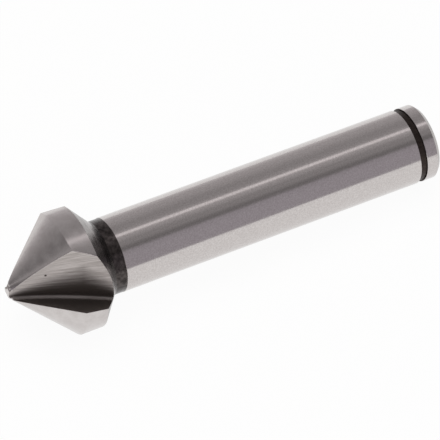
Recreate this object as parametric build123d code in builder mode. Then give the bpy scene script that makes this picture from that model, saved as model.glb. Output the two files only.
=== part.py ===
from build123d import *
import math
import os

# A three-flute 90 degree countersink bit, turned and ground from one bar, lying on a flat surface.
# It is built standing on its tip, with the tool's axis on +Z and the front of the tip at Z = 0,
# and is then laid down with +X running from the tip to the end of the shank.
# Lengths are in millimetres and angles in degrees.

# Overall sizes
total_length = 60.0
head_diameter = 16.5
shank_diameter = 10.0
point_angle = 90.0  # included angle of the cutting cone

# Tip, left as turned in front of the ground cone
tip_diameter = 1.8
tip_length = 0.3
tip_rounding = 0.28
cone_small_diameter = 3.0  # small end of the cutting cone

# Head behind the cone
land_length = 3.1
back_angle = 50.0  # between the back of the head and the tool's axis
neck_undersize = 0.1  # unground, so a little under the shank's diameter
neck_length = 1.58  # from the back of the head to the ground shank
neck_fillet = 0.4

# Ground shank
shank_chamfer = 0.5
mark_width = 0.9  # shallow ring turned near the end of the shank
mark_depth = 0.2
mark_from_end = 2.0  # plain shank behind the ring

# Flutes: each is ground by the edge of a wheel, whose flat side leaves the rake face and whose
# conical rim leaves the flank, with a small round corner between them
flute_count = 3
flute_climb = 29.0  # between the wheel's path through the corner and the tool's axis
flute_lead = 1.4  # in front of the tip, where that path would meet the axial plane through it
flute_offset = 0.4  # that path to the axial plane beside it
rake_angle = -21.0  # rake face, from the direction in which the flute climbs
wheel_radius = 40.0
wheel_travel = 11.2  # along the path to where the wheel cuts deepest
wheel_depth = 1.5  # below the path there
rim_angle = 67.0  # between the wheel's flat side and its rim
wheel_width = 12.0
flute_corner_radius = 0.4

# Relief: behind its cutting edge, each tooth is ground about an axis set off from the tool's own
cone_relief_offset = 0.5
land_relief_offset = 0.08
relief_direction = -36.0
cutting_edge_direction = -7.0  # just ahead of the cutting edge at the front of the land
sector_start = -35.0  # middle of the flute in front of the cutting edge

# Lying down
resting_passes = 8

# Worked out from the sizes above
head_radius = head_diameter / 2
shank_radius = shank_diameter / 2
tip_radius = tip_diameter / 2
cone_small_radius = cone_small_diameter / 2
neck_radius = (shank_diameter - neck_undersize) / 2
cone_slope = math.tan(math.radians(point_angle / 2))
cone_end = tip_length + (head_radius - cone_small_radius) / cone_slope
land_end = cone_end + land_length
back_end = land_end + (head_radius - neck_radius) / math.tan(math.radians(back_angle))
ground_start = back_end + neck_length
mark_end = total_length - mark_from_end
mark_start = mark_end - mark_width
flute_pitch = 360 / flute_count

# Bar turned to its outline
with BuildPart() as turned:
    with BuildSketch(Plane.XZ) as outline:
        with BuildLine():
            Polyline(
                (0, 0),
                (tip_radius, 0),
                (tip_radius, tip_length),
                (cone_small_radius, tip_length),
                (head_radius, cone_end),
                (head_radius, land_end),
                (neck_radius, back_end),
                (neck_radius, ground_start),
                (shank_radius, ground_start),
                (shank_radius, mark_start),
                (shank_radius - mark_depth, mark_start),
                (shank_radius - mark_depth, mark_end),
                (shank_radius, mark_end),
                (shank_radius, total_length),
                (0, total_length),
                close=True,
            )
        make_face()
        fillet(outline.vertices().sort_by_distance((tip_radius, 0))[0], tip_rounding)
        fillet(outline.vertices().sort_by_distance((neck_radius, back_end))[0], neck_fillet)
        chamfer(outline.vertices().sort_by_distance((shank_radius, total_length))[0], shank_chamfer)
    revolve(axis=Axis.Z)

# Form that one tooth is relieved to: a cone and a cylinder, each about its own set-off axis
edge_to_relief = math.radians(cutting_edge_direction - relief_direction)
relief_axis = Vector(1, 0, 0).rotate(Axis.Z, relief_direction)
cone_axis = relief_axis * cone_relief_offset
land_axis = relief_axis * land_relief_offset
form_length = back_end - tip_length
form_start_radius = cone_small_radius - cone_relief_offset * math.cos(edge_to_relief)
form_end_radius = form_start_radius + form_length * cone_slope
form_land_radius = head_radius - land_relief_offset * math.cos(edge_to_relief)

with BuildPart() as tooth_form:
    with Locations((cone_axis.X, cone_axis.Y, tip_length)):
        Cone(
            form_start_radius,
            form_end_radius,
            form_length,
            align=(Align.CENTER, Align.CENTER, Align.MIN),
        )
    with Locations((land_axis.X, land_axis.Y, tip_length)):
        Cylinder(
            form_land_radius,
            form_length,
            align=(Align.CENTER, Align.CENTER, Align.MIN),
            mode=Mode.INTERSECT,
        )

# Metal that the relief takes off one tooth, from the middle of one flute to the middle of the next
with BuildPart() as relief_waste:
    with BuildSketch(Plane.XY.offset(tip_length)):
        with BuildLine():
            PolarLine((0, 0), head_diameter, sector_start)
            sector_rim = CenterArc((0, 0), head_diameter, sector_start, flute_pitch)
            Line(sector_rim @ 1, (0, 0))
        make_face()
    extrude(amount=form_length)
    add(tooth_form.part, mode=Mode.SUBTRACT)

# Wheel that grinds one flute, in place at the end of its cut, with its flat side in the rake face
climb = math.radians(flute_climb)
flute_path = Vector(math.sin(climb), 0, math.cos(climb))
rake_line = Vector(1, 0, 0).rotate(Axis.Z, rake_angle)
outward = (rake_line - flute_path * rake_line.dot(flute_path)).normalized()
into_flute = outward.cross(flute_path)
path_start = Vector(0, flute_offset, -flute_lead)
wheel_centre = path_start + flute_path * wheel_travel + outward * (wheel_radius - wheel_depth)
wheel_place = Plane(origin=wheel_centre, x_dir=outward, z_dir=into_flute)
rim_drop = wheel_width / math.tan(math.radians(rim_angle))

with BuildPart() as wheel:
    with BuildSketch(Plane.XZ) as wheel_outline:
        with BuildLine():
            Polyline(
                (0, 0),
                (wheel_radius, 0),
                (wheel_radius - rim_drop, wheel_width),
                (0, wheel_width),
                close=True,
            )
        make_face()
        wheel_edge = wheel_outline.vertices().sort_by_distance((wheel_radius, 0))[0]
        fillet(wheel_edge, flute_corner_radius)
    revolve(axis=Axis.Z)

flute_waste = wheel_place * wheel.part

# Bar with its teeth relieved and its flutes ground
with BuildPart() as ground:
    add(turned.part)
    with PolarLocations(0, flute_count):
        add(relief_waste.part, mode=Mode.SUBTRACT)
        add(flute_waste, mode=Mode.SUBTRACT)

# The tool rests on two corners of the head, one on each side of a flute, and on the end of the shank.
# Each pass takes the lowest corners for the way down found so far, and finds it again from them.
rim_centre = Vector(0, 0, total_length - shank_chamfer)
head_corners = [Vector(*corner) for corner in ground.vertices() if corner.Z < ground_start]
down = Vector(1, 0, 0).rotate(Axis.Z, sector_start)
for _ in range(resting_passes):
    across = Vector(0, 0, 1).cross(down)
    edge_corner = max((corner for corner in head_corners if corner.dot(across) > 0), key=down.dot)
    heel_corner = max((corner for corner in head_corners if corner.dot(across) < 0), key=down.dot)
    rim_contact = rim_centre + Vector(down.X, down.Y).normalized() * shank_radius
    down = (edge_corner - heel_corner).cross(rim_contact - heel_corner).normalized()

surface = Plane(origin=heel_corner, x_dir=Vector(0, 0, 1) - down * down.Z, z_dir=-down)
laid = surface.to_local_coords(ground.part)
extent = laid.bounding_box()
with BuildPart() as countersink:
    with Locations((-extent.center().X, -extent.center().Y, 0)):
        add(laid)

os.makedirs("parts", exist_ok=True)
countersink.part.label = "countersink"
export_step(countersink.part, "parts/countersink.step")
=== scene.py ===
# A three-flute 90 degree countersink bit, ground from one bar of high-speed steel, lying on a pale card.
# It is shaped in millimetres as it would stand between centres, on its tip with its axis upright,
# and is then laid down in the place of the CAD part.
import math

import bmesh
import bpy
from mathutils import Matrix, Vector


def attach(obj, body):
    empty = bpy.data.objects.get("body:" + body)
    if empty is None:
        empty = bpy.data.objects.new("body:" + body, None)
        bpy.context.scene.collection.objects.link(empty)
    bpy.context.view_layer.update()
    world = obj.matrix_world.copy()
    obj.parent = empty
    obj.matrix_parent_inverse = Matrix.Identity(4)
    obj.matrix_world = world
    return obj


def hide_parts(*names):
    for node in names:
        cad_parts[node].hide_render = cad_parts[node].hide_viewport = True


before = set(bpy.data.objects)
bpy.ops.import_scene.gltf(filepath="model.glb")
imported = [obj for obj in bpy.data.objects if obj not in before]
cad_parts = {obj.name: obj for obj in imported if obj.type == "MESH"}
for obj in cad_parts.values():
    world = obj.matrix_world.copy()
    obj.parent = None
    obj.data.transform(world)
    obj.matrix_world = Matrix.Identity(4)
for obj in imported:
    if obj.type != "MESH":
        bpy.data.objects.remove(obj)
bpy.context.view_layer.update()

MM = 0.001

# Bar, in millimetres from the tip
total_length = 60.0
shank_radius = 5.0
shank_chamfer = 0.5
ground_start = 14.501
ring_start = 57.1
ring_end = 58.0
ring_depth = 0.2
edge_break = 0.04

# Tip and head
tip_radius = 0.9
tip_length = 0.3
tip_rounding = 0.28
cone_small_radius = 1.5
head_radius = 8.25
land_end = 10.15
back_angle = math.radians(50.0)
neck_radius = 4.95
neck_fillet = 0.4

# Relief: each tooth is ground about an axis set off from the tool's own, so it falls away behind its edge
teeth = 3
tooth_pitch = math.radians(360.0 / teeth)
cone_relief = 0.5
land_relief = 0.08
relief_direction = math.radians(-36.0)
edge_direction = math.radians(-7.0)
gullet_direction = math.radians(-35.0)

# Flutes: each is ground by the edge of a wheel, whose flat side leaves the rake face and whose
# conical rim leaves the flank
flute_climb = math.radians(29.0)
flute_lead = 1.4
flute_offset = 0.4
rake_direction = math.radians(-21.0)
wheel_radius = 40.0
wheel_travel = 11.2
wheel_depth = 1.5
wheel_width = 12.0
rim_angle = math.radians(67.0)
flute_corner = 0.4

# A dark speck on one flank of the upright tool
speck_place = (-3.65, -0.15, 4.4)
speck_radius = 0.1
speck_fade_radius = 0.22

# How the tool lies: the way down as the upright tool sees it, and where the middle of its tip is
way_down = Vector((0.867918, -0.494254, 0.049322))
tip_place = Vector((-30.059379, 0.036638, 7.928589))
across = (Vector((0, 0, 1)) - way_down * way_down.z).normalized()
laid_turn = Matrix((across, (-way_down).cross(across), -way_down))

# How finely the mesh is drawn
bar_columns = 288
tip_steps = 6
cone_steps = 28
land_steps = 6
back_steps = 8
fillet_steps = 8
neck_steps = 3
shank_steps = 24
end_steps = 4
tip_ring_share = 0.6  # of the tip's radius, for the ring of corners on its front
end_ring_share = 0.5  # of the shank's radius, for the ring on its end
wheel_columns = 90
wheel_reach = math.radians(30)  # the wheel is drawn this far to each side of its deepest point
wheel_corner_steps = 12
wheel_rim_steps = 24
sharp_angle = math.radians(22)

# Slots of the finishes
SHANK, TEETH, FLANK, RAKE, BACK, NECK, RING, END = range(8)
FLUTE_LINES = "across and along the flute"
WHITE = (1.0, 1.0, 1.0, 1.0)


# ---------------------------------------------------------------- materials


def colour(hex_value):
    """An sRGB hex colour as the linear colour that a shader takes."""
    channels = [int(hex_value[i : i + 2], 16) / 255 for i in (1, 3, 5)]
    linear = [c / 12.92 if c <= 0.04045 else ((c + 0.055) / 1.055) ** 2.4 for c in channels]
    return (*linear, 1.0)


def set_inputs(tree, node, inputs):
    """Sets a node's inputs: a value as it is, and another node's output as a link."""
    for name, value in inputs.items():
        if isinstance(value, bpy.types.NodeSocket):
            tree.links.new(value, node.inputs[name])
        else:
            node.inputs[name].default_value = value


def add(tree, kind, inputs=None, stops=(), **settings):
    """Adds a node with its settings, its values and the links into it."""
    node = tree.nodes.new(kind)
    for name, value in settings.items():
        setattr(node, name, value)
    set_inputs(tree, node, inputs or {})
    for number, (place, shade) in enumerate(stops):
        known = node.color_ramp.elements
        stop = known[number] if number < 2 else known.new(place)
        stop.position = place
        stop.color = shade
    return node


def work_out(tree, operation, *numbers):
    """One step of arithmetic on numbers."""
    step = add(tree, "ShaderNodeMath", dict(enumerate(numbers)), operation=operation)
    return step.outputs["Value"]


def rescale(tree, value, from_low, from_high, to_low, to_high, shape="LINEAR"):
    """A number moved from one range to another, and held at its ends."""
    ranges = {
        "Value": value,
        "From Min": from_low,
        "From Max": from_high,
        "To Min": to_low,
        "To Max": to_high,
    }
    return add(tree, "ShaderNodeMapRange", ranges, interpolation_type=shape).outputs["Result"]


def stretch(tree, place, scale):
    """Coordinates scaled along each axis."""
    return add(tree, "ShaderNodeMapping", {"Vector": place, "Scale": scale}).outputs["Vector"]


def grain(tree, place, scale, detail, roughness):
    """A random grain, about one grain to each unit of the scaled coordinates."""
    inputs = {"Vector": place, "Scale": scale, "Detail": detail, "Roughness": roughness}
    return add(tree, "ShaderNodeTexNoise", inputs).outputs["Fac"]


def bumps(tree, height, depth):
    """Small relief, its depth in millimetres."""
    inputs = {"Height": height, "Strength": 1.0, "Distance": depth * MM}
    return add(tree, "ShaderNodeBump", inputs).outputs["Normal"]


def broken_edges(tree, normal):
    """The same relief with the part's edges rubbed round by 0.06 mm."""
    inputs = {"Radius": 0.06 * MM, "Normal": normal}
    return add(tree, "ShaderNodeBevel", inputs, samples=4).outputs["Normal"]


def two_tones(tree, level, low, dark, high, light):
    """A tint that runs from dark at the low level to light at the high one."""
    stops = [(low, colour(dark)), (high, colour(light))]
    return add(tree, "ShaderNodeValToRGB", {"Fac": level}, stops).outputs["Color"]


def new_material(name):
    """An empty material with its shader and output, and the tool's own millimetres as coordinates."""
    material = bpy.data.materials.new(name)
    material.use_nodes = True
    tree = material.node_tree
    tree.nodes.clear()
    shader = add(tree, "ShaderNodeBsdfPrincipled")
    add(tree, "ShaderNodeOutputMaterial", {"Surface": shader.outputs["BSDF"]})
    place = add(tree, "ShaderNodeTexCoord")
    upright = add(
        tree,
        "ShaderNodeMapping",
        {
            "Vector": place.outputs["Object"],
            "Location": tip_place * MM,
            "Rotation": laid_turn.to_euler(),
            "Scale": (MM, MM, MM),
        },
        vector_type="TEXTURE",
    )
    return material, tree, shader, upright.outputs["Vector"]


def cylindrically_ground_steel():
    """High-speed steel off the cylindrical grinder: near-mirror round the bar, with hair-fine marks that
    run round it, a few faint coarser ones, and a fine mottle 0.2 mm across. The marks are drawn
    0.12 mm apart, coarser than a 60-grit wheel's, so that they show."""
    material, tree, shader, upright = new_material("cylindrically ground steel")
    marks = grain(tree, stretch(tree, upright, (0.12, 0.12, 8.0)), 1.0, 3.0, 0.6)
    dashes = grain(tree, stretch(tree, upright, (0.9, 0.9, 5.0)), 1.0, 4.0, 0.7)
    mottle = grain(tree, upright, 5.0, 2.0, 0.6)
    look = {
        "Base Color": two_tones(tree, mottle, 0.3, "#BDB7B5", 0.7, "#D0CBC9"),
        "Metallic": 1.0,
        "Roughness": rescale(tree, dashes, 0.3, 0.7, 0.1, 0.17),
        "Normal": bumps(tree, work_out(tree, "ADD", marks, dashes), 0.0016),
    }
    set_inputs(tree, shader, look)
    return material


def relief_ground_steel():
    """The teeth behind their cutting edges: the same steel off a cup wheel, a little duller and warmer
    than the shank, with marks round the cone 0.14 mm apart and a soft cloudiness."""
    material, tree, shader, upright = new_material("relief ground steel")
    marks = grain(tree, stretch(tree, upright, (0.25, 0.25, 7.0)), 1.0, 3.0, 0.6)
    cloud = grain(tree, upright, 0.8, 3.0, 0.6)
    look = {
        "Base Color": two_tones(tree, cloud, 0.3, "#C1BBB9", 0.7, "#CFCAC8"),
        "Metallic": 1.0,
        "Roughness": rescale(tree, cloud, 0.3, 0.7, 0.17, 0.26),
        "Normal": broken_edges(tree, bumps(tree, marks, 0.003)),
    }
    set_inputs(tree, shader, look)
    return material


def flute_ground_steel(name, root, root_shade_reach, gloss, spread):
    """A flute's face, plunge ground in one pass: long streaks along the groove about 0.25 mm apart, where
    the wheel's grit dragged, fanned out as the flute widens. Toward the root it is darkened with painted
    shade, standing in for the dark reflection where its two faces look into each other, over a width that
    grows as the flute deepens and shrinks where it runs out.
    Such a face spreads a reflection across its streaks and hardly along them. One flank has a dark
    speck 0.2 mm across, with a soft edge."""
    material, tree, shader, upright = new_material(name)
    groove = add(tree, "ShaderNodeUVMap", uv_map=FLUTE_LINES)
    apart = add(tree, "ShaderNodeSeparateXYZ", {"Vector": groove.outputs["UV"]})
    height = add(tree, "ShaderNodeSeparateXYZ", {"Vector": upright}).outputs["Z"]

    fan = work_out(tree, "MULTIPLY_ADD", height, 0.065, 1.0)
    fanned = work_out(tree, "DIVIDE", apart.outputs["X"], fan)
    lay = add(tree, "ShaderNodeCombineXYZ", {"X": fanned, "Y": apart.outputs["Y"]})
    drawn = stretch(tree, lay.outputs["Vector"], (5.5, 0.2, 1.0))
    streaks = grain(tree, drawn, 1.0, 5.0, 0.7)
    steel = two_tones(tree, streaks, 0.32, "#ABA49F", 0.62, "#D6D0CC")

    # Painted shade: toward the root the face is darkened to the root colour, over a width that grows with
    # the height and shrinks where the flute runs out, for the dark reflection between flank and rake face
    from_root = work_out(tree, "ABSOLUTE", apart.outputs["X"])
    growing = work_out(tree, "MULTIPLY_ADD", height, 0.46, 0.5)
    running_out = work_out(tree, "MULTIPLY_ADD", height, -0.73, 10.9)
    reach = work_out(tree, "MINIMUM", growing, running_out)
    share = work_out(tree, "DIVIDE", from_root, reach)
    uneven = work_out(tree, "MULTIPLY_ADD", streaks, 0.5, share)
    root_shade = rescale(tree, uneven, root_shade_reach[0], root_shade_reach[1], 1.0, 0.0, "SMOOTHSTEP")
    corner = rescale(tree, from_root, 0.15, 0.35, 0.2, 1.0)
    painted_root_shade = work_out(tree, "MULTIPLY", root_shade, corner)

    from_speck = add(tree, "ShaderNodeVectorMath", {0: upright, 1: speck_place}, operation="DISTANCE")
    speck = rescale(tree, from_speck.outputs["Value"], speck_radius, speck_fade_radius, 1.0, 0.0)
    # The painted shade at the root, in the root colour, joined with the real dark speck
    dark = work_out(tree, "MAXIMUM", painted_root_shade, speck)
    tint = add(tree, "ShaderNodeMix", {"Factor": dark, 6: steel, 7: colour(root)}, data_type="RGBA")
    along = add(tree, "ShaderNodeTangent", direction_type="UV_MAP", uv_map=FLUTE_LINES)
    look = {
        "Base Color": tint.outputs[2],
        "Metallic": 1.0,
        "Roughness": gloss,
        "Anisotropic": spread,
        "Tangent": along.outputs["Tangent"],
        "Normal": broken_edges(tree, bumps(tree, streaks, 0.006)),
    }
    set_inputs(tree, shader, look)
    return material


def hardened_steel(name, dark, light, dull):
    """Steel left black from hardening, over the marks of the lathe: a thin dark scale that shines
    softly, rubbed a little browner in places. The turned marks are 0.2 mm apart."""
    material, tree, shader, upright = new_material(name)
    turning = grain(tree, stretch(tree, upright, (0.1, 0.1, 5.0)), 1.0, 3.0, 0.6)
    scale = grain(tree, upright, 1.6, 4.0, 0.65)
    look = {
        "Base Color": two_tones(tree, scale, 0.35, dark, 0.7, light),
        "Metallic": 1.0,
        "Roughness": rescale(tree, turning, 0.3, 0.7, dull - 0.06, dull + 0.06),
        "Normal": bumps(tree, turning, 0.012),
    }
    set_inputs(tree, shader, look)
    return material


def faced_steel():
    """The end of the shank and its chamfer, faced on the lathe: rings about its middle 0.15 mm apart,
    duller than the ground steel beside it."""
    material, tree, shader, upright = new_material("faced steel")
    apart = add(tree, "ShaderNodeSeparateXYZ", {"Vector": upright})
    flat = add(tree, "ShaderNodeCombineXYZ", {"X": apart.outputs["X"], "Y": apart.outputs["Y"]})
    from_middle = add(tree, "ShaderNodeVectorMath", {0: flat.outputs["Vector"]}, operation="LENGTH")
    rings = add(
        tree,
        "ShaderNodeTexNoise",
        {"W": from_middle.outputs["Value"], "Scale": 6.5, "Detail": 3.0},
        noise_dimensions="1D",
    ).outputs["Fac"]
    look = {
        "Base Color": two_tones(tree, rings, 0.3, "#A7A3A1", 0.7, "#BEBAB8"),
        "Metallic": 1.0,
        "Roughness": 0.3,
        "Normal": bumps(tree, rings, 0.01),
    }
    set_inputs(tree, shader, look)
    return material


# In the order of their slots
finishes = [
    cylindrically_ground_steel(),
    relief_ground_steel(),
    # The second colour of each flute face is its painted shade at the root: dark on the flank, faint on
    # the rake face
    flute_ground_steel("ground flank steel", "#4A4440", (0.65, 1.8), 0.5, 0.9),
    flute_ground_steel("ground rake face steel", "#BFB9B5", (2.0, 4.0), 0.3, 0.5),
    hardened_steel("hardened back of the head", "#7C7775", "#969190", 0.24),
    hardened_steel("hardened neck", "#34302F", "#615B59", 0.22),
    hardened_steel("hardened ring", "#3A3330", "#4A423E", 0.5),
    faced_steel(),
]


# ---------------------------------------------------------------- the bar


def set_off_circle(radius, offset, direction):
    """How far a circle's edge is from the tool's axis in one direction, when its middle is set off."""
    angle = direction - relief_direction
    return offset * math.cos(angle) + math.sqrt(radius**2 - (offset * math.sin(angle)) ** 2)


edge_to_relief = edge_direction - relief_direction
cone_form_start = cone_small_radius - cone_relief * math.cos(edge_to_relief)
land_form_radius = head_radius - land_relief * math.cos(edge_to_relief)


def tooth_line(direction):
    """The ground outline of the head in one direction from the axis, as (height, radius, finish)."""
    since_gullet = (direction - gullet_direction) % tooth_pitch
    around = gullet_direction + since_gullet
    land_radius = set_off_circle(land_form_radius, land_relief, around)
    angle = around - relief_direction
    reach = land_radius - cone_relief * math.cos(angle)
    cone_top = tip_length + math.hypot(reach, cone_relief * math.sin(angle)) - cone_form_start
    land_top = land_end + (head_radius - land_radius) / math.tan(back_angle)
    line = []
    for step in range(cone_steps + 1):
        height = tip_length + (cone_top - tip_length) * step / cone_steps
        radius = set_off_circle(cone_form_start + height - tip_length, cone_relief, around)
        line.append((height, radius, TEETH))
    for step in range(1, land_steps):
        height = cone_top + (land_top - cone_top) * step / land_steps
        line.append((height, land_radius, TEETH))
    line.append((land_top, land_radius, BACK))
    return line


def arc(middle_height, middle_radius, size, start, end, steps, finish):
    """Points of a small rounding on the outline, from one direction to another in degrees."""
    points = []
    for step in range(steps + 1):
        angle = math.radians(start + (end - start) * step / steps)
        height = middle_height + size * math.sin(angle)
        radius = middle_radius + size * math.cos(angle)
        points.append((height, radius, finish))
    return points


def run(start, end, radius, steps, finish):
    """Points of a plain cylinder on the outline."""
    return [(start + (end - start) * step / steps, radius, finish) for step in range(steps)]


def bar_line(direction):
    """The whole outline in one direction from the axis, from the tip to the end of the shank."""
    line = [(0.0, tip_ring_share * tip_radius, SHANK)]
    line += arc(tip_rounding, tip_radius - tip_rounding, tip_rounding, -90, 0, tip_steps, SHANK)
    line.append((tip_length, tip_radius, SHANK))
    line += tooth_line(direction)
    # The fillet between the back of the head and the neck, and the middle it is struck from
    back_end = land_end + (head_radius - neck_radius) / math.tan(back_angle)
    fillet_height = back_end + neck_fillet * math.tan(back_angle / 2)
    land_top, land_radius, _ = line[-1]
    fillet = arc(
        fillet_height,
        neck_radius + neck_fillet,
        neck_fillet,
        180 + math.degrees(back_angle),
        180,
        fillet_steps,
        NECK,
    )
    for step in range(1, back_steps):
        part = step / back_steps
        height = land_top + (fillet[0][0] - land_top) * part
        radius = land_radius + (fillet[0][1] - land_radius) * part
        line.append((height, radius, BACK))
    line += fillet
    line += run(fillet_height, ground_start, neck_radius, neck_steps, NECK)[1:]
    line.append((ground_start, neck_radius, NECK))
    line.append((ground_start, shank_radius - edge_break, SHANK))
    line += run(ground_start + edge_break, ring_start - edge_break, shank_radius, shank_steps, SHANK)
    line.append((ring_start - edge_break, shank_radius, SHANK))
    line.append((ring_start, shank_radius - edge_break, RING))
    line.append((ring_start, shank_radius - ring_depth, RING))
    line.append((ring_end, shank_radius - ring_depth, RING))
    line.append((ring_end, shank_radius - edge_break, SHANK))
    line += run(ring_end + edge_break, total_length - shank_chamfer, shank_radius, end_steps, SHANK)
    line.append((total_length - shank_chamfer, shank_radius, END))
    line.append((total_length, shank_radius - shank_chamfer, END))
    line.append((total_length, end_ring_share * shank_radius, END))
    return line


def new_piece(name, shape):
    """A mesh with every finish, made of a shape that is then let go."""
    mesh = bpy.data.meshes.new(name)
    shape.to_mesh(mesh)
    shape.free()
    for finish in finishes:
        mesh.materials.append(finish)
    piece = bpy.data.objects.new(name, mesh)
    bpy.context.scene.collection.objects.link(piece)
    return piece


def turn_bar(name):
    """The turned and relieved bar as a closed mesh, before its flutes are ground."""
    shape = bmesh.new()
    lines = []
    for column in range(bar_columns):
        direction = 2 * math.pi * (column + 0.5) / bar_columns
        lines.append((direction, bar_line(direction)))
    stations = len(lines[0][1])
    rings = []
    for station in range(stations):
        ring = []
        for direction, line in lines:
            height, radius, _ = line[station]
            corner = (radius * math.cos(direction), radius * math.sin(direction), height)
            ring.append(shape.verts.new(corner))
        rings.append(ring)
    for station in range(stations - 1):
        finish = lines[0][1][station][2]
        for column in range(bar_columns):
            after = (column + 1) % bar_columns
            near, far = rings[station], rings[station + 1]
            face = shape.faces.new((near[column], near[after], far[after], far[column]))
            face.material_index = finish
    for ring, height, finish in ((rings[0], 0.0, SHANK), (rings[-1], total_length, END)):
        middle = shape.verts.new((0, 0, height))
        for column in range(bar_columns):
            after = (column + 1) % bar_columns
            face = shape.faces.new((middle, ring[after], ring[column]))
            face.material_index = finish
    bmesh.ops.recalc_face_normals(shape, faces=shape.faces)
    return new_piece(name, shape)


# ---------------------------------------------------------------- the flutes


flute_path = Vector((math.sin(flute_climb), 0, math.cos(flute_climb)))
rake_line = Vector((math.cos(rake_direction), math.sin(rake_direction), 0))
flute_outward = (rake_line - flute_path * rake_line.dot(flute_path)).normalized()
into_flute = flute_outward.cross(flute_path)
wheel_centre = Vector((0, flute_offset, -flute_lead)) + flute_path * wheel_travel
wheel_centre += flute_outward * (wheel_radius - wheel_depth)
corner_reach = flute_corner / math.tan(rim_angle / 2)


def wheel_outline():
    """The edge of the grinding wheel, as (distance from its flat side, radius)."""
    points = [(0.0, wheel_radius - corner_reach)]
    for step in range(1, wheel_corner_steps + 1):
        angle = math.pi + (rim_angle - math.pi) * step / wheel_corner_steps
        wide = flute_corner + flute_corner * math.cos(angle)
        points.append((wide, wheel_radius - corner_reach + flute_corner * math.sin(angle)))
    first = points[-1][0]
    for step in range(1, wheel_rim_steps + 1):
        wide = first + (wheel_width - first) * step / wheel_rim_steps
        points.append((wide, wheel_radius - wide / math.tan(rim_angle)))
    return points


def flute_wheel(number):
    """The part of the grinding wheel that meets the bar, in place at the end of one flute's cut."""
    shape = bmesh.new()
    turn = Matrix.Rotation(tooth_pitch * number, 3, "Z")
    outline = wheel_outline()
    rows = []
    for column in range(wheel_columns + 1):
        angle = wheel_reach * (2 * column / wheel_columns - 1)
        row = []
        for wide, radius in outline:
            arm = flute_path * math.sin(angle) - flute_outward * math.cos(angle)
            row.append(shape.verts.new(turn @ (wheel_centre + into_flute * wide + arm * radius)))
        rows.append(row)
    hubs = []
    for wide in (0.0, wheel_width):
        hubs.append(shape.verts.new(turn @ (wheel_centre + into_flute * wide)))
    for near, far in zip(rows, rows[1:]):
        for i in range(len(outline) - 1):
            shape.faces.new((near[i], near[i + 1], far[i + 1], far[i]))
        shape.faces.new((hubs[0], near[0], far[0]))
        shape.faces.new((hubs[1], far[-1], near[-1]))
    shape.faces.new((*rows[0], hubs[1], hubs[0]))
    shape.faces.new((hubs[0], hubs[1], *reversed(rows[-1])))
    for face in shape.faces:
        face.material_index = RAKE if hubs[0] in face.verts else FLANK
    bmesh.ops.recalc_face_normals(shape, faces=shape.faces)
    return new_piece("flute", shape)


def grind(bar, wheel):
    """Takes a wheel's waste out of the bar."""
    cut = bar.modifiers.new("grind", "BOOLEAN")
    cut.operation = "DIFFERENCE"
    cut.solver = "EXACT"
    cut.object = wheel
    ground = bar.evaluated_get(bpy.context.evaluated_depsgraph_get())
    mesh = bpy.data.meshes.new_from_object(ground)
    bar.modifiers.clear()
    bar.data = mesh
    bpy.data.objects.remove(wheel)


def draw_flute_lines(mesh, number):
    """Gives the faces of the flute just ground their millimetres across and along the groove, for the
    streaks to follow. Across runs from the root, up the flank or, below zero, out along the rake face."""
    layer = mesh.uv_layers.get(FLUTE_LINES) or mesh.uv_layers.new(name=FLUTE_LINES)
    turn_back = Matrix.Rotation(-tooth_pitch * number, 3, "Z")
    for face in mesh.polygons:
        drawn = any(layer.data[loop].uv.length > 0 for loop in face.loop_indices)
        if drawn or face.material_index not in (FLANK, RAKE):
            continue
        for loop in face.loop_indices:
            arm = turn_back @ mesh.vertices[mesh.loops[loop].vertex_index].co - wheel_centre
            wide = arm.dot(into_flute)
            out = -arm.dot(flute_outward)
            radius = math.hypot(arm.dot(flute_path), out)
            from_root = radius - wheel_radius
            if face.material_index == FLANK:
                from_root = wide / math.sin(rim_angle)
            along = wheel_radius * math.atan2(arm.dot(flute_path), out)
            layer.data[loop].uv = (from_root, along)


def lay_down(mesh):
    """Moves the upright tool to where it lies, in metres."""
    mesh.transform(Matrix.Translation(tip_place * MM) @ laid_turn.to_4x4() @ Matrix.Scale(MM, 4))


bit = turn_bar("countersink_bit")
for number in range(teeth):
    grind(bit, flute_wheel(number))
    draw_flute_lines(bit.data, number)
bit.data.set_sharp_from_angle(angle=sharp_angle)
lay_down(bit.data)
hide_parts("countersink")
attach(bit, "root")


# ---------------------------------------------------------------- table and light


def card(name, low, high, material):
    """A flat sheet between two corners, in millimetres."""
    shape = bmesh.new()
    corners = [(low[0], low[1]), (high[0], low[1]), (high[0], high[1]), (low[0], high[1])]
    shape.faces.new([shape.verts.new((x * MM, y * MM, 0)) for x, y in corners])
    mesh = bpy.data.meshes.new(name)
    shape.to_mesh(mesh)
    shape.free()
    mesh.materials.append(material)
    sheet = bpy.data.objects.new(name, mesh)
    bpy.context.scene.collection.objects.link(sheet)


def matt_white_card():
    """White card: a soft matt white that the camera sees as almost plain white, shadow kept."""
    plain_share = 0.95
    material = bpy.data.materials.new("matt white card")
    material.use_nodes = True
    tree = material.node_tree
    tree.nodes.clear()
    paper = add(tree, "ShaderNodeBsdfDiffuse", {"Color": colour("#F6F6F5")})
    plain = add(tree, "ShaderNodeEmission", {"Color": WHITE, "Strength": 1.0})
    path = add(tree, "ShaderNodeLightPath")
    seen = work_out(tree, "MAXIMUM", path.outputs["Is Camera Ray"], path.outputs["Is Glossy Ray"])
    share = work_out(tree, "MULTIPLY", seen, plain_share)
    mix = add(
        tree,
        "ShaderNodeMixShader",
        {0: share, 1: paper.outputs["BSDF"], 2: plain.outputs["Emission"]},
    )
    add(tree, "ShaderNodeOutputMaterial", {"Surface": mix.outputs["Shader"]})
    return material


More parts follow.
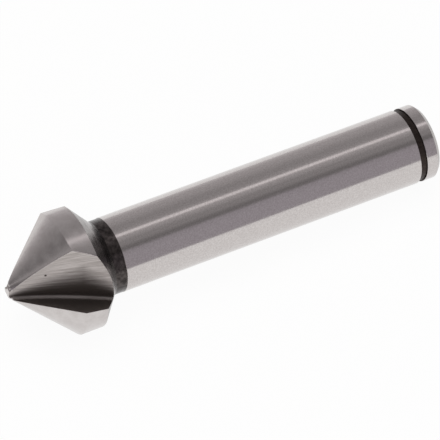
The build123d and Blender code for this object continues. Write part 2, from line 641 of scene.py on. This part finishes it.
# The tent's cloth by the angle up from the front, over the top and down to the back, in degrees.
# A bright seam runs along its top, and it is darkest about the camera's opening.
tent_start = -30
tent_end = 180
violet_end = 50
tent_levels = [
    (tent_start, 0.42),
    (28, 0.43),
    (44, 0.40),
    (51, 0.22),
    (57, 0.22),
    (66, 0.33),
    (76, 0.33),
    (85, 0.44),
    (93, 0.48),
    (95, 0.95),
    (101, 0.95),
    (104, 0.42),
    (115, 0.36),
    (128, 0.35),
    (150, 0.46),
    (165, 0.50),
    (175, 0.62),
    (tent_end, 0.70),
]
reflector_direction = (-0.43, -0.9, 0.05)


def cloth_stop(angle, level):
    """One stop of the cloth's ramp: a grey with a faint rose cast, more violet low at the front."""
    green, blue = (0.94, 1.02) if angle < violet_end else (0.96, 0.98)
    return (angle - tent_start) / (tent_end - tent_start), (level, green * level, blue * level, 1.0)


def studio_world():
    """A light tent round the table, and a low white reflector to the front left. The camera itself
    sees plain white."""
    world = bpy.data.worlds.new("studio")
    world.use_nodes = True
    tree = world.node_tree
    tree.nodes.clear()
    direction = add(tree, "ShaderNodeTexCoord").outputs["Generated"]
    apart = add(tree, "ShaderNodeSeparateXYZ", {"Vector": direction})
    front = work_out(tree, "MULTIPLY", apart.outputs["Y"], -1.0)
    turn = work_out(tree, "ARCTAN2", apart.outputs["Z"], front)
    along = rescale(tree, turn, math.radians(tent_start), math.radians(tent_end), 0.0, 1.0)
    stops = [cloth_stop(angle, level) for angle, level in tent_levels]
    ramp = add(tree, "ShaderNodeValToRGB", {"Fac": along}, stops)
    # The tent's side walls stand further off, so they are darker
    left_wall = rescale(tree, apart.outputs["X"], -0.85, -0.45, 0.66, 1.0)
    right_wall = rescale(tree, apart.outputs["X"], 0.55, 0.8, 1.0, 0.4)
    cloth = add(
        tree,
        "ShaderNodeVectorMath",
        {0: ramp.outputs["Color"], "Scale": work_out(tree, "MULTIPLY", left_wall, right_wall)},
        operation="SCALE",
    )
    toward = add(
        tree,
        "ShaderNodeVectorMath",
        {0: direction, 1: reflector_direction},
        operation="DOT_PRODUCT",
    )
    reflector = rescale(tree, toward.outputs["Value"], 0.84, 0.97, 0.0, 1.2, "SMOOTHSTEP")
    both = add(
        tree,
        "ShaderNodeVectorMath",
        {0: cloth.outputs["Vector"], 1: reflector},
        operation="ADD",
    )
    tent = add(tree, "ShaderNodeBackground", {"Color": both.outputs["Vector"], "Strength": 1.0})
    white = add(tree, "ShaderNodeBackground", {"Color": WHITE, "Strength": 1.0})
    path = add(tree, "ShaderNodeLightPath")
    mix = add(
        tree,
        "ShaderNodeMixShader",
        {0: path.outputs["Is Camera Ray"], 1: tent.outputs["Background"], 2: white.outputs["Background"]},
    )
    add(tree, "ShaderNodeOutputWorld", {"Surface": mix.outputs["Shader"]})
    bpy.context.scene.world = world


def soft_lamp(name, place, side, level):
    """A square soft lamp that faces the tool, in millimetres, with one level of light over its face.
    Metal doesn't mirror it, as the tent hides it."""
    lamp = bpy.data.lights.new(name, "AREA")
    lamp.shape = "SQUARE"
    lamp.size = side * MM
    lamp.energy = level * math.pi * lamp.size**2
    holder = bpy.data.objects.new(name, lamp)
    holder.location = place * MM
    holder.rotation_euler = (-place).to_track_quat("-Z", "Y").to_euler()
    holder.visible_glossy = False
    bpy.context.scene.collection.objects.link(holder)


card("card", (-700, -72), (600, 700), matt_white_card())
studio_world()
soft_lamp("overhead diffuser", Vector((0, 60, 700)), 700, 1.9)

camera_place = Vector((-180.0535, -353.8415, 469.5417))
camera_turn = (40.54541, 0.56015, -27.64065)
camera_data = bpy.data.cameras.new("camera")
camera_data.lens = 390.115
camera_data.sensor_width = 36.0
camera = bpy.data.objects.new("camera", camera_data)
camera.location = camera_place * MM
camera.rotation_euler = [math.radians(angle) for angle in camera_turn]
bpy.context.scene.collection.objects.link(camera)
bpy.context.scene.camera = camera

bpy.context.scene.view_settings.view_transform = "Standard"
